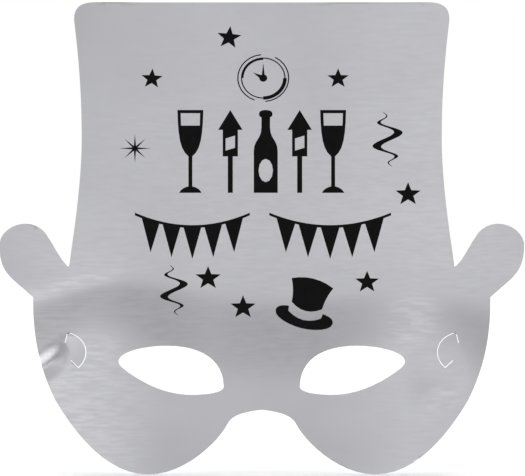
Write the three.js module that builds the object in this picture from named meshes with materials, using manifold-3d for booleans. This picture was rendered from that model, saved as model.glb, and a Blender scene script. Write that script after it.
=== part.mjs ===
// A die-cut party mask in the shape of a top hat: silver laminated paperboard, printed in black.
// Units are millimetres. +X is to the right of somebody looking at the printed front, +Z is up and
// the front faces -Y. The origin lies on the back of the board, midway between the eye holes.

import * as THREE from 'three';
import { mergeVertices } from 'three/addons/utils/BufferGeometryUtils.js';
import Module from 'manifold-3d';

const wasm = await Module();
wasm.setup();

// ---- driving dimensions ----

const HALF_WIDTH = 104.8; // centre line to the tip of a brim
const CROWN_TOP = 147.3;
const CHEEK_BOTTOM = -41.9;

const BOARD = 0.4; // paperboard
const SKIN = 0.05; // one layer of silver film or of ink
const GLUE = 0.05; // between two layers
const CUT_GAP = 0.3; // round each tab, at the knife line and along the crease

const FLAT_HALF = 20; // the board is flat this far each side of the centre line
const CURL_DEPTH = 6; // how far the brim tips curl towards the front
const CURL_FACETS = 6; // flat strips from the flat middle to the brim tip, on each side

const LEFT_TAB_PUSH = 8; // degrees; the left tab rests slightly pushed in
const RIGHT_TAB_PUSH = 0;

const CURVE_STEPS = 12; // straight pieces in one curved stretch of the outline
const INK_STEPS = 6; // the same in a small printed motif

// ---- materials ----

function material(color, roughness, metalness) {
  return new THREE.MeshStandardMaterial({ color, roughness, metalness });
}

const whiteBoard = () => material(0xf2f1ec, 0.85, 0);
const silverFilm = () => material(0xc0c0c8, 0.22, 1);
const blackInk = () => material(0x101012, 0.4, 0);

// ---- the curl of the sheet ----

const facetWidth = (HALF_WIDTH - FLAT_HALF) / CURL_FACETS;

/** How far the sheet is curled forward at x: a parabola that starts at the flat middle. */
function curl(x) {
  const reach = Math.max(0, Math.abs(x) - FLAT_HALF);
  return -CURL_DEPTH * (reach / (HALF_WIDTH - FLAT_HALF)) ** 2;
}

/** Lines of constant x, from left to right, where one flat strip of the sheet meets the next. */
const rightFolds = Array.from({ length: CURL_FACETS + 2 }, (_, step) => FLAT_HALF + step * facetWidth);
const folds = [...rightFolds.map((x) => -x).reverse(), ...rightFolds];

/** The curl at any x, straight between two folds. */
function facetedCurl(x) {
  const right = folds.findIndex((fold) => fold > x);
  const [near, far] = [folds[right - 1], folds[right]];
  return THREE.MathUtils.mapLinear(x, near, far, curl(near), curl(far));
}

// ---- solids: a curled sheet, cut by straight knives ----

function toSolid(geometry) {
  geometry.deleteAttribute('normal');
  geometry.deleteAttribute('uv');
  const merged = mergeVertices(geometry, 1e-4);
  return new wasm.Manifold(new wasm.Mesh({
    numProp: 3,
    vertProperties: merged.getAttribute('position').array,
    triVerts: Uint32Array.from(merged.index.array),
  }));
}

function toGeometry(solid) {
  const mesh = solid.getMesh();
  const geometry = new THREE.BufferGeometry();
  geometry.setAttribute('position', new THREE.BufferAttribute(mesh.vertProperties, 3));
  geometry.setIndex(new THREE.BufferAttribute(mesh.triVerts, 1));
  geometry.computeVertexNormals();
  return geometry;
}

/** A whole curled sheet, uncut, whose back lies at y = back and whose front is towards -Y. */
function curledSheet(back, thickness) {
  const margin = 5;
  const behind = folds.map((x) => new THREE.Vector2(x, curl(x) + back));
  const front = folds.map((x) => new THREE.Vector2(x, curl(x) + back - thickness)).reverse();
  const sheet = new THREE.ExtrudeGeometry(new THREE.Shape([...behind, ...front]), {
    depth: CROWN_TOP - CHEEK_BOTTOM + 2 * margin, bevelEnabled: false,
  });
  return toSolid(sheet.translate(0, 0, CHEEK_BOTTOM - margin));
}

/** The prism that a knife with this outline, in x and z, sweeps through the sheet. */
function knife(outline) {
  const margin = 1;
  const depth = 2 * CURL_DEPTH + 2 * margin;
  const prism = new THREE.ExtrudeGeometry(outline, {
    depth, bevelEnabled: false, curveSegments: CURVE_STEPS,
  });
  prism.rotateX(Math.PI / 2);
  return toSolid(prism.translate(0, margin, 0));
}

/** The layers of the laminate, from the back forward. */
const layers = {
  board: curledSheet(0, BOARD),
  film: curledSheet(-BOARD - GLUE, SKIN),
  ink: curledSheet(-BOARD - SKIN - 2 * GLUE, SKIN),
};

/** What an outline cuts out of one layer, less any openings. */
function cutFrom(layer, outline, openings = []) {
  let piece = layer.intersect(knife(outline));
  for (const opening of openings) piece = piece.subtract(knife(opening));
  return toGeometry(piece);
}

// ---- outline helpers ----

/** Adds cubic curves to a path; each entry holds two control points and an end point. */
function addCurves(path, curves) {
  for (const [ax, az, bx, bz, x, z] of curves) path.bezierCurveTo(ax, az, bx, bz, x, z);
}

/** Mirrors a chain of cubic curves that starts at (startX, startZ), and reverses its direction. */
function mirrored(startX, startZ, curves) {
  const ends = [[startX, startZ], ...curves.map((curve) => curve.slice(4))];
  return curves.map(([ax, az, bx, bz], index) => {
    const [x, z] = ends[index];
    return [-bx, bz, -ax, az, -x, z];
  }).reverse();
}

/** A polygon pushed outwards by a distance; points run anticlockwise. */
function grown(points, distance) {
  const normalAfter = points.map((point, index) => {
    const next = points[(index + 1) % points.length];
    return new THREE.Vector2(next.y - point.y, point.x - next.x).normalize();
  });
  return points.map((point, index) => {
    const before = normalAfter[(index + points.length - 1) % points.length];
    const after = normalAfter[index];
    const mitre = before.clone().add(after);
    return mitre.multiplyScalar((2 * distance) / mitre.lengthSq()).add(point);
  });
}

/** A closed shape from a list of [x, z] corners. */
function polygon(corners) {
  return new THREE.Shape(corners.map(([x, z]) => new THREE.Vector2(x, z)));
}

/** Turns a shape about the origin by a number of degrees, scales it across and up, and moves it. */
function placed(shape, x, z, { turn = 0, across = 1, up = 1 } = {}) {
  const origin = new THREE.Vector2();
  const move = (points) => points.map((point) => point.clone()
    .rotateAround(origin, THREE.MathUtils.degToRad(turn))
    .multiply(new THREE.Vector2(across, up))
    .add(new THREE.Vector2(x, z)));
  const result = new THREE.Shape(move(shape.getPoints(INK_STEPS)));
  result.holes = shape.holes.map((hole) => new THREE.Path(move(hole.getPoints(INK_STEPS))));
  return result;
}

// ---- the die-cut sheet ----

/** Right half of the outer edge, from the top of the crown clockwise to the nose notch. */
const TOP_STRAIGHT = 64.5; // half the straight part of the crown's top edge
const rightEdge = [
  [72.5, CROWN_TOP + 0.3, 75.2, 145.5, 75.1, 140.0], // rounded top corner
  [73.3, 125.6, 72.2, 111.4, 72.1, 97.0], // side of the crown, drawn in to its waist
  [71.6, 78.3, 75.0, 56.4, 77.0, 42.4], // flaring out to the brim
  [77.1, 41.2, 77.6, 41.4, 78.2, 42.3], // notch between crown and brim
  [81.0, 44.9, 83.2, 50.0, 85.2, 52.8], // inner edge of the upturned brim
  [90.0, 62.2, 103.0, 59.2, HALF_WIDTH, 51.0], // round tip of the brim
  [105.0, 38.6, 100.2, 37.4, 91.4, 29.2], // underside of the brim
  [91.6, 14.2, 89.3, 1.5, 82.6, -12.1], // temple
  [74.6, -25.6, 62.1, CHEEK_BOTTOM, 45.5, CHEEK_BOTTOM], // cheek
  [30.2, CHEEK_BOTTOM, 17.0, -28.2, 13.6, -21.4], // side of the nose notch
  [12.0, -18.2, 6.5, -16.6, 0, -16.0], // bridge of the nose
];

/** Right eye hole, anticlockwise from its inner corner. */
const EYE_START = [15.3, -6.0];
const rightEye = [
  [14.4, -8.6, 19.5, -9.9, 28.0, -10.0],
  [38.0, -10.0, 46.0, -6.0, 52.6, -1.6],
  [55.0, 0.2, 57.6, 1.8, 57.4, 3.6],
  [57.0, 7.2, 47.5, 9.7, 38.0, 9.7],
  [23.5, 9.7, 15.6, 3.4, ...EYE_START],
];

/** Right tab: a D that hangs on the crease between its two outer points. */
const CREASE_TOP = [78.6, 11.0];
const CREASE_FOOT = [76.3, 3.9];
const TAB_TOP = [77.7, 14.9];
const TAB_FOOT = [73.5, 1.2];

function eyeHole(side) {
  const eye = new THREE.Shape();
  eye.moveTo(side * EYE_START[0], EYE_START[1]);
  addCurves(eye, side > 0 ? rightEye : mirrored(...EYE_START, rightEye));
  return eye;
}

/** The points of a tab's outline, anticlockwise. */
function tabPoints(side) {
  const tab = new THREE.Shape();
  tab.moveTo(...TAB_TOP);
  tab.bezierCurveTo(68.7, 12.6, 69.3, 4.3, ...TAB_FOOT);
  tab.lineTo(...CREASE_FOOT);
  tab.lineTo(...CREASE_TOP);
  const points = tab.getPoints(CURVE_STEPS);
  if (side > 0) return points;
  return points.map((point) => new THREE.Vector2(-point.x, point.y)).reverse();
}

function sheetOutline() {
  const sheet = new THREE.Shape();
  sheet.moveTo(-TOP_STRAIGHT, CROWN_TOP);
  sheet.lineTo(TOP_STRAIGHT, CROWN_TOP);
  addCurves(sheet, rightEdge);
  addCurves(sheet, mirrored(TOP_STRAIGHT, CROWN_TOP, rightEdge));
  return sheet;
}

/** Everything the knife takes out of the sheet or cuts free in it. */
function sheetOpenings() {
  const tabs = [1, -1].map((side) => new THREE.Shape(grown(tabPoints(side), CUT_GAP)));
  return [eyeHole(1), eyeHole(-1), ...tabs];
}

// ---- printed motifs, each drawn about its own origin ----

/** A star with equal points, the first one straight up. */
function starShape(points, outer, inner) {
  const corners = [];
  for (let index = 0; index < 2 * points; index += 1) {
    const angle = Math.PI / 2 + (index * Math.PI) / points;
    const radius = index % 2 ? inner : outer;
    corners.push([radius * Math.cos(angle), radius * Math.sin(angle)]);
  }
  return polygon(corners);
}

/** A spark: long rays up, down, left and right, and shorter ones between them. */
function sparkShape(long, short, waist) {
  const corners = [];
  for (let index = 0; index < 16; index += 1) {
    const angle = (index * Math.PI) / 8;
    const ray = index % 4 ? short : long;
    const radius = index % 2 ? waist : ray;
    corners.push([radius * Math.cos(angle), radius * Math.sin(angle)]);
  }
  return polygon(corners);
}

/** A band of a circle between two angles in degrees. */
function arcShape(radius, width, from, to) {
  const [start, end] = [from, to].map(THREE.MathUtils.degToRad);
  const band = new THREE.Shape();
  band.absarc(0, 0, radius + width / 2, start, end, false);
  band.absarc(0, 0, radius - width / 2, end, start, true);
  return band;
}

/** A clock's ring, heavier over the third quarter hour and a little heavier opposite. */
function dialShape(radius, thin, medium, heavy) {
  const ring = new THREE.Shape();
  const quarter = Math.PI / 2;
  ring.absarc(0, 0, radius + heavy / 2, -quarter, 0, false);
  for (const turn of [0, 1, 2]) {
    ring.absarc(0, 0, radius + thin / 2, turn * quarter, (turn + 1) * quarter, false);
  }
  const hole = new THREE.Path();
  hole.absarc(0, 0, radius - heavy / 2, -quarter, 0, false);
  hole.absarc(0, 0, radius - thin / 2, 0, quarter, false);
  hole.absarc(0, 0, radius - medium, quarter, 2 * quarter, false);
  hole.absarc(0, 0, radius - thin / 2, 2 * quarter, 3 * quarter, false);
  ring.holes.push(hole);
  return ring;
}

/** Two clock hands on a round hub; angles in degrees from twelve, clockwise. */
function handsShape(hub, hands) {
  const corners = [];
  for (const { length, width, angle } of hands) {
    const along = THREE.MathUtils.degToRad(90 - angle);
    const spread = Math.asin(width / 2 / hub);
    corners.push({ at: along - spread, radius: hub });
    corners.push({ at: along, radius: length });
    corners.push({ at: along + spread, radius: hub });
  }
  const round = 24;
  const isFree = (angle) => hands.every(({ angle: hand }) => {
    const away = angle - THREE.MathUtils.degToRad(90 - hand);
    return Math.cos(away) < Math.cos(Math.PI / 7);
  });
  for (let index = 0; index < round; index += 1) {
    const angle = (index * 2 * Math.PI) / round;
    if (isFree(angle)) corners.push({ at: angle, radius: hub });
  }
  const turn = (angle) => ((angle % (2 * Math.PI)) + 2 * Math.PI) % (2 * Math.PI);
  corners.sort((a, b) => turn(a.at) - turn(b.at));
  return polygon(corners.map(({ at, radius }) => [radius * Math.cos(at), radius * Math.sin(at)]));
}

/** A curly streamer that hangs down: its widest, slowest and heaviest swings are in the middle. */
function streamerShape(height, swing, stroke, turns, drift) {
  const steps = 14 * turns;
  const slowing = 0.08;
  const [left, right] = [[], []];
  for (let index = 0; index <= steps; index += 1) {
    const along = index / steps;
    const swell = Math.sin(Math.PI * along) ** 2;
    const phase = 2 * Math.PI * turns * (along + slowing * Math.sin(2 * Math.PI * along));
    const middle = drift * (along - 0.5) + swing * (0.2 + 0.8 * swell) * Math.sin(phase);
    const half = stroke * (0.1 + 0.9 * swell);
    const z = height * (0.5 - along);
    left.push([middle - half, z]);
    right.unshift([middle + half, z]);
  }
  return polygon([...left, ...right]);
}

/** A sagging line of bunting: a cord with pennants that hang from it, side by side. */
function buntingShape(span, sag, cord, pennants, drop) {
  const height = (x) => sag * ((2 * x) / span) ** 2 - sag / 2;
  const pitch = span / (pennants + 0.5);
  const half = pitch * 0.42;
  const lower = [];
  const upper = [];
  for (let index = 0; index < pennants; index += 1) {
    const middle = (index - (pennants - 1) / 2) * pitch;
    for (const x of [middle - pitch / 2, middle - half]) lower.push([x, height(x) - cord / 2]);
    lower.push([middle, height(middle) - drop]);
    lower.push([middle + half, height(middle + half) - cord / 2]);
  }
  lower.unshift([-span / 2, height(span / 2) - cord / 2]);
  lower.push([span / 2, height(span / 2) - cord / 2]);
  for (let index = 0; index <= 4 * pennants; index += 1) {
    const x = span * (0.5 - index / (4 * pennants));
    upper.push([x, height(x) + cord / 2]);
  }
  return polygon([...lower, ...upper]);
}

/** A tall glass: open bowl with a stroke for its wall, stem and foot. */
function fluteShape(height, width, wall) {
  const half = width / 2;
  const foot = -height / 2;
  const top = height / 2;
  const bowl = top - height * 0.56;
  const glass = new THREE.Shape();
  glass.moveTo(-half * 0.86, foot);
  glass.lineTo(half * 0.86, foot);
  glass.quadraticCurveTo(half * 0.7, foot + wall * 0.75, wall * 0.3, foot + wall);
  glass.lineTo(wall * 0.3, bowl);
  glass.bezierCurveTo(half * 0.8, bowl + wall, half * 0.95, bowl + wall * 3, half, top);
  glass.lineTo(-half, top);
  glass.bezierCurveTo(-half * 0.95, bowl + wall * 3, -half * 0.8, bowl + wall, -wall * 0.3, bowl);
  glass.lineTo(-wall * 0.3, foot + wall);
  glass.quadraticCurveTo(-half * 0.7, foot + wall * 0.75, -half * 0.86, foot);
  const inside = new THREE.Path();
  const rim = half - wall * 0.5;
  inside.moveTo(-rim, top - wall * 0.5);
  inside.lineTo(rim, top - wall * 0.5);
  inside.lineTo(rim * 0.96, top - wall * 2.4);
  inside.lineTo(-rim * 0.96, top - wall * 2.4);
  glass.holes.push(inside);
  return glass;
}

/** A firework rocket: pointed cap, tube with a blank window, and its stick. */
function rocketShape(height, width, stick) {
  const half = width / 2;
  const top = height / 2;
  const capFoot = top - height * 0.24;
  const tubeFoot = capFoot - height * 0.32;
  const tube = half * 0.62;
  const rocket = polygon([
    [-stick / 2, -top], [stick / 2, -top], [stick / 2, tubeFoot], [tube, tubeFoot],
    [tube, capFoot], [half, capFoot], [0, top], [-half, capFoot],
    [-tube, capFoot], [-tube, tubeFoot], [-stick / 2, tubeFoot],
  ]);
  const margin = tube * 0.38;
  const window = new THREE.Path([
    new THREE.Vector2(-tube + margin, tubeFoot + margin * 2),
    new THREE.Vector2(tube - margin, tubeFoot + margin * 3),
    new THREE.Vector2(tube - margin, capFoot - margin * 2),
    new THREE.Vector2(-tube + margin, capFoot - margin * 3),
  ]);
  rocket.holes.push(window);
  return rocket;
}

/** A bottle with round shoulders, a long neck, a stopper and a blank oval on its belly. */
function bottleShape(height, width) {
  const half = width / 2;
  const foot = -height / 2;
  const top = height / 2;
  const shoulder = foot + height * 0.5;
  const neck = half * 0.36;
  const bottle = new THREE.Shape();
  bottle.moveTo(-half, foot);
  bottle.lineTo(half, foot);
  bottle.lineTo(half, shoulder);
  bottle.bezierCurveTo(half, shoulder + half, neck, shoulder + half, neck, shoulder + 2 * half);
  bottle.lineTo(neck, top - 3);
  bottle.lineTo(neck * 1.5, top - 2.4);
  bottle.quadraticCurveTo(neck * 1.9, top, 0, top);
  bottle.quadraticCurveTo(-neck * 1.9, top, -neck * 1.5, top - 2.4);
  bottle.lineTo(-neck, top - 3);
  bottle.lineTo(-neck, shoulder + 2 * half);
  bottle.bezierCurveTo(-neck, shoulder + half, -half, shoulder + half, -half, shoulder);
  const oval = new THREE.Path();
  oval.absellipse(0, foot + height * 0.27, half * 0.6, height * 0.14, 0, 2 * Math.PI, false, 0);
  bottle.holes.push(oval);
  return bottle;
}

/** Crown of the small hat, above its band. */
function hatCrownShape() {
  const crown = new THREE.Shape();
  crown.moveTo(-6.3, 5.0);
  crown.quadraticCurveTo(0, 0.4, 6.3, 5.0);
  crown.quadraticCurveTo(6.4, 9.6, 8.6, 14.2);
  crown.quadraticCurveTo(0, 18.0, -8.6, 14.2);
  crown.quadraticCurveTo(-6.4, 9.6, -6.3, 5.0);
  return crown;
}

/** Brim of the small hat: a flat oval with the foot of the band taken out of it. */
function hatBrimShape() {
  const brim = new THREE.Shape();
  brim.moveTo(-11.8, 0.6);
  brim.bezierCurveTo(-12.2, -2.6, -5.0, -4.4, 0, -4.4);
  brim.bezierCurveTo(5.0, -4.4, 12.2, -2.6, 11.8, 0.6);
  brim.quadraticCurveTo(11.4, 2.8, 7.0, 3.2);
  brim.lineTo(6.7, 1.2);
  brim.quadraticCurveTo(0, -3.2, -6.7, 1.2);
  brim.lineTo(-7.0, 3.2);
  brim.quadraticCurveTo(-11.4, 2.8, -11.8, 0.6);
  return brim;
}

// ---- where each motif is printed: centre x, centre z ----

const PRINT_UP = 0.92; // the stars, the clock and the spark are this much lower than they are wide
const STAR_POINTS = 5;
const STAR_WAIST = 0.42; // inner radius as a share of the outer one
const stars = [
  { name: 'star_top', x: -13.1, z: 133.2, radius: 5.1, turn: -6 },
  { name: 'star_left_of_clock', x: -44.0, z: 116.7, radius: 4.5, turn: -3 },
  { name: 'star_right_of_clock', x: 30.6, z: 116.8, radius: 4.5, turn: 0 },
  { name: 'star_far_right', x: 58.6, z: 70.4, radius: 5.3, turn: 0 },
  { name: 'star_lower_left', x: -21.5, z: 36.8, radius: 5.3, turn: 0 },
  { name: 'star_lower_middle', x: -7.5, z: 25.1, radius: 5.3, turn: 0 },
  { name: 'star_lower_right', x: 42.2, z: 35.2, radius: 5.0, turn: 0 },
];

const CLOCK = { x: 0.6, z: 117.0, outer: 10.2, ring: 8.7, hub: 1.6 };
const clockPlace = [CLOCK.x, CLOCK.z, { up: PRINT_UP }];
const clockHands = [
  { length: 4.8, width: 1.4, angle: -60 },
  { length: 6.6, width: 1.1, angle: 0 },
];

const ROW_Z = 87.6; // middle of the row of tall motifs
const ROW_HEIGHT = 33.2;
const flute = fluteShape(ROW_HEIGHT, 10.4, 2.6);
const rocket = rocketShape(ROW_HEIGHT, 9.8, 2.0);
const streamer = streamerShape(21.6, 5.6, 2.0, 3, 3.5);
const bunting = buntingShape(46, 5.0, 1.1, 5, 13.0);
const BUNTING_Z = 60.0;
const HAT = { x: 16.9, z: 21.0, turn: -14 };

const motifs = [
  ...stars.map(({ name, x, z, radius, turn }) => ({
    name, shape: placed(starShape(STAR_POINTS, radius, radius * STAR_WAIST), x, z, { turn, up: PRINT_UP }),
  })),
  { name: 'clock_arc_left', shape: placed(arcShape(CLOCK.outer, 0.5, 95, 250), ...clockPlace) },
  { name: 'clock_arc_right', shape: placed(arcShape(CLOCK.outer, 0.5, -85, 62), ...clockPlace) },
  { name: 'clock_ring', shape: placed(dialShape(CLOCK.ring, 0.5, 0.8, 1.5), ...clockPlace) },
  { name: 'clock_hands', shape: placed(handsShape(CLOCK.hub, clockHands), ...clockPlace) },
  { name: 'spark', shape: placed(sparkShape(6.4, 6.0, 1.1), -50.8, 88.8, { up: PRINT_UP }) },
  { name: 'flute_left', shape: placed(flute, -28.6, ROW_Z) },
  { name: 'rocket_left', shape: placed(rocket, -12.6, ROW_Z) },
  { name: 'bottle', shape: placed(bottleShape(ROW_HEIGHT, 9.6), 1.6, ROW_Z) },
  { name: 'rocket_right', shape: placed(rocket, 15.2, ROW_Z) },
  { name: 'flute_right', shape: placed(flute, 28.6, ROW_Z) },
  { name: 'bunting_left', shape: placed(bunting, -27.8, BUNTING_Z) },
  { name: 'bunting_right', shape: placed(bunting, 27.4, BUNTING_Z, { across: 1.06 }) },
  { name: 'streamer_right', shape: placed(streamer, 50.4, 92.4) },
  { name: 'streamer_left', shape: placed(streamer, -35.2, 32.0, { across: 0.92, up: 0.92 }) },
  { name: 'hat_crown', shape: placed(hatCrownShape(), HAT.x, HAT.z, { turn: HAT.turn }) },
  { name: 'hat_brim', shape: placed(hatBrimShape(), HAT.x, HAT.z, { turn: HAT.turn }) },
];

// ---- assembly ----

function namedMesh(name, geometry, look) {
  const mesh = new THREE.Mesh(geometry, look);
  mesh.name = name;
  return mesh;
}

/** Where a tab's crease lies on the back of the curled sheet, in the middle of its gap. */
function creaseEnd(side, [x, z]) {
  const outward = CUT_GAP / 2;
  const onSheet = side * (x + outward);
  return new THREE.Vector3(onSheet, facetedCurl(onSheet), z);
}

/** Board and film of one tab, pushed back about its crease by a number of degrees. */
function tab(side, prefix, push) {
  const top = creaseEnd(side, CREASE_TOP);
  const foot = creaseEnd(side, CREASE_FOOT);
  const hinge = new THREE.Group();
  hinge.position.copy(foot);
  const upwards = top.clone().sub(foot).normalize();
  hinge.quaternion.setFromAxisAngle(upwards, -side * THREE.MathUtils.degToRad(push));
  const outline = new THREE.Shape(tabPoints(side));
  const pieces = [
    namedMesh(`${prefix}_tab_board`, cutFrom(layers.board, outline), whiteBoard()),
    namedMesh(`${prefix}_tab_film`, cutFrom(layers.film, outline), silverFilm()),
  ];
  for (const piece of pieces) {
    piece.geometry.translate(-foot.x, -foot.y, -foot.z);
    hinge.add(piece);
  }
  return hinge;
}

function mask() {
  const group = new THREE.Group();
  const sheet = sheetOutline();
  const openings = sheetOpenings();
  group.add(namedMesh('face_board', cutFrom(layers.board, sheet, openings), whiteBoard()));
  group.add(namedMesh('face_film', cutFrom(layers.film, sheet, openings), silverFilm()));
  group.add(tab(-1, 'left', LEFT_TAB_PUSH));
  group.add(tab(1, 'right', RIGHT_TAB_PUSH));
  for (const { name, shape } of motifs) {
    group.add(namedMesh(name, cutFrom(layers.ink, shape), blackInk()));
  }
  return group;
}

export default mask();
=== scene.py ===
"""A die-cut party mask in the shape of a top hat: silver laminated paperboard, printed in black.

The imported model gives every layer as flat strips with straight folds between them. Here each layer
becomes one smooth sheet, with the soft bends, dents and crease that a handled board has, and each
tab is joined to the sheet by its living hinge. Shape is worked out in millimetres, as in the model,
and turned into metres where a mesh is made.
"""

import math

import bmesh
import bpy
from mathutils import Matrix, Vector, noise


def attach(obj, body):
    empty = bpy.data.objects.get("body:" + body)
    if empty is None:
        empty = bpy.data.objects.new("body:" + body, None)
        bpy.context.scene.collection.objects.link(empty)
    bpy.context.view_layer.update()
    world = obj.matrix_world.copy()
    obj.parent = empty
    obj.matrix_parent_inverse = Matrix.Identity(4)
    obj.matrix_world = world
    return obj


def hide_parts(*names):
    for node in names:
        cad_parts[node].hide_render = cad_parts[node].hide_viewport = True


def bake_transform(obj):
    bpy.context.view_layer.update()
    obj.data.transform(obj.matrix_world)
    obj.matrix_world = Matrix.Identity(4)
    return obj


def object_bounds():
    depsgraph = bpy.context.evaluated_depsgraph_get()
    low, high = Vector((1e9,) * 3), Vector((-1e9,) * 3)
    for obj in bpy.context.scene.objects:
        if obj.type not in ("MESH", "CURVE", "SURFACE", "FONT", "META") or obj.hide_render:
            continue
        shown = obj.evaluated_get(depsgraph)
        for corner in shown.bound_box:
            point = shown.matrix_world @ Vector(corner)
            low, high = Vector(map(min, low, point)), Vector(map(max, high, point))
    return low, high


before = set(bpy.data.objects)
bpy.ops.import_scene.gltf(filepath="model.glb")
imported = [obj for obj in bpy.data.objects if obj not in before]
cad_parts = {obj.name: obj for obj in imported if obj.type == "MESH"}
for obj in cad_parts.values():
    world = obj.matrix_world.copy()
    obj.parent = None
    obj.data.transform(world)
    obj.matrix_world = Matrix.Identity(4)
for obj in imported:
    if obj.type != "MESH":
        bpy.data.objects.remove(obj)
cad_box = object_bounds()

MM = 0.001

# ---- the sheet, as the model has it, in millimetres ----

HALF_WIDTH = 104.8
FLAT_HALF = 20
CURL_DEPTH = 6
CURL_FACETS = 6
BOARD = 0.4
SKIN = 0.05
GLUE = 0.05
CUT_GAP = 0.3
CREASE_TOP = (78.6, 11.0)
CREASE_FOOT = (76.3, 3.9)

# ---- the bent sheet is set forward and tilted, so that both creases stay on their hinge lines ----

CREASE_LEVEL = 1.04  # millimetres, on the centre line
CREASE_TILT = -0.0018  # and this much more for each millimetre to the right

# ---- the mesh of a smooth sheet ----

CELL = 1.6 * MM
WELD = 1e-6
SLIVER = 3e-6
COPLANAR = math.radians(0.2)
SHARP = math.radians(12)  # two faces that meet at more than this have a sharp edge between them
FRONT_OR_BACK = 0.7  # a face whose normal has more than this along Y belongs to the front or the back
ON_GRID = 0.002  # how far from a grid line an edge may lie and still be on it, in cells
HINGE_ROWS = 10
HINGE_COLUMNS = 6

# ---- cut edges: the knife rolls the last stretch of the board's front and of the film back ----

ROLL_WIDTH = 0.3 * MM
ROLL_DEPTH = 0.12 * MM

# ---- the bend across the brow, in millimetres ----

BROW_Z = 24.5  # where it starts, on the centre line
BROW_RISE = {-1: 11.0, 1: 5.0}  # how much higher it starts to the left and to the right
BROW_SIDE = 62.0  # where that rise is reached
BROW_DROP = 10.0  # how much lower it starts on the brim ends again
BROW_SLOPE = 0.06
BROW_BAND = 22.0
BROW_SHARP = 2.4
BROW_SOFT = 6.0
STRAIGHT_FROM = 30  # past this many of those widths the bend's ramp is straight

# ---- the kink in the narrow strip outside the left tab, in millimetres ----

KINK_FOOT = (-76.6, 2.5)  # where its crease leaves the tab
KINK_RISE = 0.68  # how steeply the crease runs down towards the outer edge
KINK_HEIGHT = 12.5
KINK_RUN = 8  # how far outward it takes to reach its full depth
KINK_DEPTH = 0.55

# ---- small handling marks: x, z, radius and depth away from the front, in millimetres ----

DENTS = [
    (-79.6, 12.4, 1.1, 0.07),
    (-75.2, 1.4, 1.0, -0.07),
    (79.8, 10.0, 0.9, 0.04),
    (70.0, -4.0, 11.0, -0.35),
]

# ---- the camera ----

CAMERA_DISTANCE = 1.8
VIEW_WIDTH = 0.2104
VIEW_CENTRE = Vector((0.0003, -0.0015, 0.0529))

# ---- the studio ----

FLOOR_RADIUS = 20
SUN_STRENGTH = 2.8
SUN_SPREAD = math.radians(50)
DARKEST = 0.12  # the least that the film mirrors from any direction
MIRROR_TINT = (0.985, 0.985, 1.02, 1)


# ---- the shape of the sheet ----


def softplus(value):
    """A smooth ramp: nearly 0 well below zero, nearly the value well above it."""
    if value > STRAIGHT_FROM:
        return value
    return math.log1p(math.exp(value))


def smooth_step(value, start, end):
    share = min(1.0, max(0.0, (value - start) / (end - start)))
    return share * share * (3 - 2 * share)


def curl(x):
    """How far the smooth sheet is curled forward at x."""
    reach = max(0.0, abs(x) - FLAT_HALF)
    return -CURL_DEPTH * (reach / (HALF_WIDTH - FLAT_HALF)) ** 2


def faceted_curl(x):
    """The same curl as the model has it, straight between two folds."""
    facet = (HALF_WIDTH - FLAT_HALF) / CURL_FACETS
    reach = abs(x) - FLAT_HALF
    if reach <= 0:
        return 0.0
    step = math.floor(reach / facet)
    near = FLAT_HALF + step * facet
    share = (reach - step * facet) / facet
    return (1 - share) * curl(near) + share * curl(near + facet)


def brow_bend(x, z):
    """The sheet leans back a little in a band under the brim."""
    rise = BROW_RISE[1 if x > 0 else -1] * smooth_step(abs(x), 0, BROW_SIDE)
    drop = BROW_DROP * smooth_step(abs(x), BROW_SIDE, HALF_WIDTH)
    below = BROW_Z + rise - drop - z
    start = BROW_SHARP * softplus(below / BROW_SHARP)
    end = BROW_SOFT * softplus((below - BROW_BAND) / BROW_SOFT)
    return BROW_SLOPE * (start - end)


def ripple(x, z):
    """Slow unevenness of the board."""
    wide = noise.noise(Vector((x / 46, z / 30, 3.1)))
    fine = noise.noise(Vector((x / 17, z / 11, 8.7)))
    return 0.09 * wide + 0.012 * fine


def dent(x, z, centre_x, centre_z, radius, depth):
    away = math.hypot(x - centre_x, z - centre_z) / radius
    return depth * math.exp(-away * away)


def kink(x, z):
    """A hollow with a sharp crease along its lower side, between the left tab and the outer edge."""
    outward = KINK_FOOT[0] - x
    share = (z - KINK_FOOT[1] + KINK_RISE * outward) / KINK_HEIGHT
    if outward <= 0 or not 0 < share < 1:
        return 0.0
    swell = math.sin(math.pi * share)
    return KINK_DEPTH * smooth_step(outward, 0, KINK_RUN) * (swell if share < 0.5 else swell * swell)


def relief(x, z):
    """How far the handled sheet lies behind the model's, in millimetres; in front if below 0."""
    marks = sum(dent(x, z, *mark) for mark in DENTS) + kink(x, z)
    bend = brow_bend(x, z) - CREASE_LEVEL - CREASE_TILT * x
    return curl(x) - faceted_curl(x) + bend + ripple(x, z) + marks


# ---- meshes ----


def roll_edges(mesh, sides):
    """Rolls the edges of the front (-1) and back (1) faces away from the front, on the given sides.

    The inner line of the rolled stretch is marked as a seam, which cut_into_cells leaves alone.
    """
    mesh.normal_update()
    for side in sides:
        faces = [face for face in mesh.faces if face.normal.y * side > FRONT_OR_BACK]
        before = {vertex for face in faces for vertex in face.verts}
        ring = bmesh.ops.inset_region(mesh, faces=faces, thickness=ROLL_WIDTH)
        ring_edges = {edge for face in ring["faces"] for edge in face.edges}
        kept = {vertex for face in faces for vertex in face.verts}
        for edge in ring_edges:
            edge.seam = all(vertex in kept for vertex in edge.verts)
        for vertex in before - kept:
            vertex.co.y += ROLL_DEPTH


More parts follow.
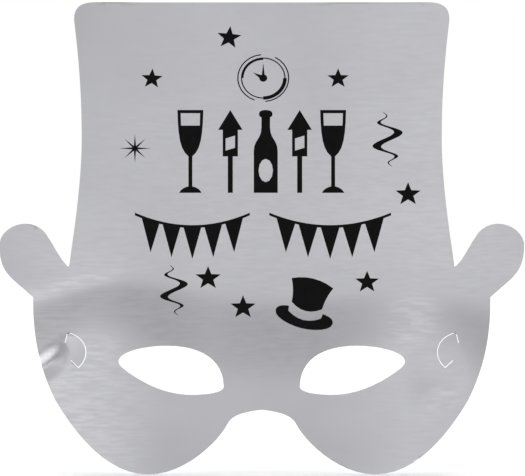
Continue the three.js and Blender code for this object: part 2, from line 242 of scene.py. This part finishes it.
def cut_into_cells(mesh):
    """Cuts every large face along a grid in x and z, and drops the edges that aren't on the grid."""
    for axis in (0, 2):
        places = [vertex.co[axis] for vertex in mesh.verts]
        first = math.ceil(max(min(places), cad_box[0][axis]) / CELL)
        last = math.floor(min(max(places), cad_box[1][axis]) / CELL)
        normal = [0, 0, 0]
        normal[axis] = 1
        for line in range(first, last + 1):
            point = [0, 0, 0]
            point[axis] = line * CELL
            geometry = mesh.verts[:] + mesh.edges[:] + mesh.faces[:]
            bmesh.ops.bisect_plane(mesh, geom=geometry, dist=WELD, plane_co=point, plane_no=normal)

    def on_grid(edge):
        for axis in (0, 2):
            first_end, second_end = (vertex.co[axis] / CELL for vertex in edge.verts)
            line = round(first_end)
            if line == round(second_end) and max(abs(first_end - line), abs(second_end - line)) < ON_GRID:
                return True
        return False

    def is_inner(edge):
        if len(edge.link_faces) != 2:
            return False
        one, other = (face.normal.y for face in edge.link_faces)
        return min(abs(one), abs(other)) > FRONT_OR_BACK and one * other > 0

    mesh.normal_update()
    spare = [edge for edge in mesh.edges if is_inner(edge) and not edge.seam and not on_grid(edge)]
    bmesh.ops.dissolve_edges(mesh, edges=spare, use_verts=True)


def smooth_sheet(name, node, materials, body, rolled=()):
    """A smooth copy of one layer of the model, rolled at the edges of the given sides.

    The second material, if any, is for the cut edge.
    """
    mesh = bmesh.new()
    mesh.from_mesh(node.data)
    bmesh.ops.remove_doubles(mesh, verts=mesh.verts[:], dist=WELD)
    bmesh.ops.dissolve_degenerate(mesh, edges=mesh.edges[:], dist=SLIVER)
    bmesh.ops.dissolve_limit(mesh, angle_limit=COPLANAR, verts=mesh.verts[:], edges=mesh.edges[:])
    roll_edges(mesh, rolled)
    cut_into_cells(mesh)
    for vertex in mesh.verts:
        vertex.co.y += MM * relief(vertex.co.x / MM, vertex.co.z / MM)
    mesh.normal_update()
    for face in mesh.faces:
        face.smooth = True
        is_rim = abs(face.normal.y) < FRONT_OR_BACK
        face.material_index = min(len(materials) - 1, int(is_rim))
    for edge in mesh.edges:
        edge.smooth = edge.calc_face_angle(math.pi) < SHARP
        edge.seam = False
    data = bpy.data.meshes.new(name)
    mesh.to_mesh(data)
    mesh.free()
    for material in materials:
        data.materials.append(material)
    sheet = bpy.data.objects.new(name, data)
    bpy.context.scene.collection.objects.link(sheet)
    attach(sheet, body)
    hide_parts(node.name)


def living_hinge(name, side, back, front, material):
    """One layer of the strip that joins a tab to the sheet along its crease.

    back and front are how far the layer's two faces lie in front of the back of the board.
    """
    top = Vector((side * CREASE_TOP[0], CREASE_TOP[1]))
    foot = Vector((side * CREASE_FOOT[0], CREASE_FOOT[1]))
    upwards = (top - foot).normalized()
    outwards = Vector((upwards.y, -upwards.x)) * side
    rows, columns = HINGE_ROWS, HINGE_COLUMNS

    def point(row, column, depth):
        flat = foot.lerp(top, row / rows) + outwards * CUT_GAP * (column / columns)
        y = faceted_curl(flat.x) + relief(flat.x, flat.y) - depth
        return Vector((flat.x, y, flat.y)) * MM

    mesh = bmesh.new()
    grid = {}
    for row in range(rows + 1):
        for column in range(columns + 1):
            for depth in (back, front):
                grid[row, column, depth] = mesh.verts.new(point(row, column, depth))

    def quad(*keys):
        mesh.faces.new([grid[key] for key in keys])

    for row in range(rows):
        for column in range(columns):
            for depth in (back, front):
                quad((row, column, depth), (row, column + 1, depth),
                     (row + 1, column + 1, depth), (row + 1, column, depth))
        for column in (0, columns):
            quad((row, column, back), (row, column, front),
                 (row + 1, column, front), (row + 1, column, back))
    for column in range(columns):
        for row in (0, rows):
            quad((row, column, back), (row, column, front),
                 (row, column + 1, front), (row, column + 1, back))
    bmesh.ops.recalc_face_normals(mesh, faces=mesh.faces[:])
    for face in mesh.faces:
        face.smooth = True
    for edge in mesh.edges:
        edge.smooth = edge.calc_face_angle(math.pi) < SHARP
    data = bpy.data.meshes.new(name)
    mesh.to_mesh(data)
    mesh.free()
    data.materials.append(material)
    strip = bpy.data.objects.new(name, data)
    bpy.context.scene.collection.objects.link(strip)
    point(rows / 2, columns, back)
    point(rows / 2, 0, back)
    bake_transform(strip)


# ---- materials ----


class Shader:
    """A material with one principled shader, and short calls for the nodes that feed it."""

    def __init__(self, name):
        self.material = bpy.data.materials.new(name)
        self.material.use_nodes = True
        self.tree = self.material.node_tree
        self.surface = self.tree.nodes["Principled BSDF"]
        self.place = self.add("ShaderNodeTexCoord").outputs["Object"]

    def add(self, kind):
        return self.tree.nodes.new(kind)

    def link(self, source, target):
        self.tree.links.new(source, target)

    def scaled(self, scale):
        """The place on the object, stretched: scale is in features for each metre along x, y and z."""
        mapping = self.add("ShaderNodeMapping")
        mapping.inputs["Scale"].default_value = scale
        self.link(self.place, mapping.inputs["Vector"])
        return mapping.outputs["Vector"]

    def noise(self, scale, detail=2.0, roughness=0.5, distortion=0.0):
        texture = self.add("ShaderNodeTexNoise")
        texture.inputs["Scale"].default_value = 1.0
        texture.inputs["Detail"].default_value = detail
        texture.inputs["Roughness"].default_value = roughness
        texture.inputs["Distortion"].default_value = distortion
        self.link(self.scaled(scale), texture.inputs["Vector"])
        return texture.outputs["Fac"]

    def ramp(self, value, low, high, from_range=(0.35, 0.65)):
        """The value turned into a number or a colour between low and high."""
        is_colour = isinstance(low, tuple)
        spread = self.add("ShaderNodeMapRange")
        spread.inputs["From Min"].default_value = from_range[0]
        spread.inputs["From Max"].default_value = from_range[1]
        self.link(value, spread.inputs["Value"])
        if not is_colour:
            spread.inputs["To Min"].default_value = low
            spread.inputs["To Max"].default_value = high
            return spread.outputs["Result"]
        mix = self.add("ShaderNodeMix")
        mix.data_type = "RGBA"
        mix.inputs["A"].default_value = (*low, 1)
        mix.inputs["B"].default_value = (*high, 1)
        self.link(spread.outputs["Result"], mix.inputs["Factor"])
        return mix.outputs["Result"]

    def bump(self, height, distance, below=None):
        """Adds a height field, in metres for a whole step of the value, on top of another bump."""
        bump = self.add("ShaderNodeBump")
        bump.inputs["Distance"].default_value = distance
        self.link(height, bump.inputs["Height"])
        if below is not None:
            self.link(below, bump.inputs["Normal"])
        return bump.outputs["Normal"]

    def drive(self, socket, output):
        self.link(output, self.surface.inputs[socket])


def silver_film():
    """Satin metallised film: faint mottling, and waves stretched along the web's direction."""
    shader = Shader("silver_film")
    shader.surface.inputs["Metallic"].default_value = 1.0
    mottle = shader.noise((30, 30, 42), detail=3)
    shader.drive("Base Color", shader.ramp(mottle, (0.735, 0.735, 0.752), (0.765, 0.765, 0.772)))
    haze = shader.noise((160, 160, 900), detail=3)
    shader.drive("Roughness", shader.ramp(haze, 0.14, 0.19))
    waves = shader.bump(shader.noise((105, 105, 950), detail=2, distortion=0.3), 2.4e-6)
    grain = shader.bump(shader.noise((1500, 1500, 2600), detail=1), 4e-7, below=waves)
    shader.drive("Normal", grain)
    return shader.material


def white_board(name, light, dark):
    """Uncoated paperboard: short fibres in all directions and a slight cloudiness."""
    shader = Shader(name)
    cloud = shader.noise((340, 340, 340), detail=6, roughness=0.7)
    shader.drive("Base Color", shader.ramp(cloud, dark, light))
    shader.drive("Roughness", shader.ramp(shader.noise((700, 700, 700)), 0.8, 0.95))
    shader.surface.inputs["Specular IOR Level"].default_value = 0.25
    across = shader.bump(shader.noise((600, 2200, 2600), detail=3, distortion=1.2), 1.2e-5)
    along = shader.bump(shader.noise((2600, 2200, 600), detail=3, distortion=1.2), 1.2e-5, below=across)
    shader.drive("Normal", along)
    return shader.material


def black_ink():
    """A dense layer of printing ink, slightly uneven where it lies on the film."""
    shader = Shader("black_ink")
    cover = shader.noise((420, 420, 420), detail=4)
    shader.drive("Base Color", shader.ramp(cover, (0.003, 0.003, 0.0032), (0.0045, 0.0045, 0.0046)))
    shader.drive("Roughness", shader.ramp(shader.noise((260, 260, 700)), 0.34, 0.46))
    shader.surface.inputs["Specular IOR Level"].default_value = 0.08
    shader.drive("Normal", shader.bump(shader.noise((900, 900, 900), detail=2), 1e-6))
    return shader.material


def pale_floor():
    shader = Shader("pale_floor")
    wash = shader.noise((2, 2, 2))
    shader.drive("Base Color", shader.ramp(wash, (0.88, 0.88, 0.88), (0.90, 0.90, 0.90)))
    shader.surface.inputs["Roughness"].default_value = 0.9
    shader.surface.inputs["Specular IOR Level"].default_value = 0.1
    return shader.material


# ---- camera, floor and light ----


def make_camera():
    data = bpy.data.cameras.new("camera")
    data.lens = data.sensor_width * CAMERA_DISTANCE / VIEW_WIDTH
    data.clip_start, data.clip_end = 0.05, 60
    camera = bpy.data.objects.new("camera", data)
    camera.location = VIEW_CENTRE - Vector((0, CAMERA_DISTANCE, 0))
    camera.rotation_euler = (math.radians(90), 0, 0)
    bpy.context.scene.collection.objects.link(camera)
    bpy.context.scene.camera = camera


def make_floor():
    mesh = bmesh.new()
    bmesh.ops.create_circle(mesh, cap_ends=True, segments=96, radius=FLOOR_RADIUS)
    data = bpy.data.meshes.new("floor")
    mesh.to_mesh(data)
    mesh.free()
    data.materials.append(pale_floor())
    floor = bpy.data.objects.new("floor", data)
    floor.location.z = cad_box[0].z
    floor.visible_glossy = False
    bpy.context.scene.collection.objects.link(floor)


def make_world():
    """A white studio. What the film mirrors is a different pattern: grey at eye level,
    darker just below it, and lighter again from far below and from the lower right."""
    world = bpy.data.worlds.new("studio")
    bpy.context.scene.world = world
    world.use_nodes = True
    tree = world.node_tree
    nodes, links = tree.nodes, tree.links
    output = nodes["World Output"]
    mirrored = nodes["Background"]

    def math_node(operation, *values):
        node = nodes.new("ShaderNodeMath")
        node.operation = operation
        for socket, value in zip(node.inputs, values):
            if isinstance(value, (int, float)):
                socket.default_value = value
            else:
                links.new(value, socket)
        return node.outputs[0]

    def step(value, start, end, low, high):
        node = nodes.new("ShaderNodeMapRange")
        node.interpolation_type = "SMOOTHSTEP"
        node.inputs["From Min"].default_value = start
        node.inputs["From Max"].default_value = end
        node.inputs["To Min"].default_value = low
        node.inputs["To Max"].default_value = high
        links.new(value, node.inputs["Value"])
        return node.outputs["Result"]

    def soft_patch(centre_x, centre_z, half_width, half_height, strength):
        """A round light that is brightest at its centre."""
        spans = ((across, centre_x, half_width), (up, centre_z, half_height))
        offsets = [math_node("DIVIDE", math_node("SUBTRACT", value, centre), half)
                   for value, centre, half in spans]
        squares = [math_node("MULTIPLY", offset, offset) for offset in offsets]
        return step(math_node("ADD", *squares), 0.0, 1.0, strength, 0.0)

    direction = nodes.new("ShaderNodeSeparateXYZ")
    links.new(nodes.new("ShaderNodeTexCoord").outputs["Generated"], direction.inputs[0])
    across, up = direction.outputs["X"], direction.outputs["Z"]
    parts = [
        step(up, -0.08, -0.005, 0.47, 0.785),
        step(up, -0.01, 0.08, 0.0, -0.15),
        step(up, 0.20, 0.50, 0.0, -0.35),
        step(up, -0.42, -0.20, 0.32, 0.0),
        step(up, 0.75, 0.95, 0.0, 0.4),
        step(across, -0.22, 0.22, 0.06, -0.09),
        step(math_node("ABSOLUTE", across), 0.13, 0.25, 0.0, -0.08),
        step(math_node("SUBTRACT", across, up), 0.30, 0.6, 0.0, 0.8),
        soft_patch(0.18, -0.06, 0.15, 0.05, 0.60),
        soft_patch(-0.10, -0.10, 0.07, 0.05, 0.50),
    ]
    total = parts[0]
    for part in parts[1:]:
        total = math_node("ADD", total, part)
    total = math_node("MAXIMUM", total, DARKEST)
    tint = nodes.new("ShaderNodeMix")
    tint.data_type = "RGBA"
    tint.blend_type = "MULTIPLY"
    tint.inputs["Factor"].default_value = 1.0
    tint.inputs["B"].default_value = MIRROR_TINT
    links.new(total, tint.inputs["A"])
    links.new(tint.outputs["Result"], mirrored.inputs["Color"])

    seen = nodes.new("ShaderNodeBackground")
    seen.inputs["Color"].default_value = (1, 1, 1, 1)
    choose = nodes.new("ShaderNodeMixShader")
    links.new(nodes.new("ShaderNodeLightPath").outputs["Is Camera Ray"], choose.inputs[0])
    links.new(mirrored.outputs[0], choose.inputs[1])
    links.new(seen.outputs[0], choose.inputs[2])
    links.new(choose.outputs[0], output.inputs["Surface"])


def make_sun():
    """One very soft light from straight above."""
    data = bpy.data.lights.new("sky_panel", "SUN")
    data.energy = SUN_STRENGTH
    data.angle = SUN_SPREAD
    sun = bpy.data.objects.new("sky_panel", data)
    bpy.context.scene.collection.objects.link(sun)


make_camera()
make_floor()
make_world()
make_sun()
bpy.context.scene.view_settings.view_transform = "Standard"

film = silver_film()
paper = white_board("white_board", light=(0.80, 0.80, 0.78), dark=(0.74, 0.74, 0.72))
cut_edge = white_board("cut_edge", light=(0.80, 0.79, 0.76), dark=(0.70, 0.69, 0.66))
ink = black_ink()

bodies = {"face": "mask", "left_tab": "left_tab", "right_tab": "right_tab"}
for prefix, body in bodies.items():
    board_node, film_node = (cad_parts[f"{prefix}_{layer}"] for layer in ("board", "film"))
    smooth_sheet(f"{prefix}_paper", board_node, [paper, cut_edge], body, rolled=(-1,))
    smooth_sheet(f"{prefix}_silver", film_node, [film], body, rolled=(-1, 1))
laminate = {node for prefix in bodies for node in (f"{prefix}_board", f"{prefix}_film")}
for name in sorted(set(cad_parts) - laminate):
    smooth_sheet(f"print_{name}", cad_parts[name], [ink], "mask")

# The rolled edges leave a groove along each crease, and the hinge's layers lie at its bottom.
groove = ROLL_DEPTH / MM
film_back = BOARD + GLUE - groove
for side, body in ((-1, "left_tab"), (1, "right_tab")):
    living_hinge(f"{body}_hinge_paper", side, 0.0, BOARD - groove, paper)
    living_hinge(f"{body}_hinge_silver", side, film_back, film_back + SKIN, film)
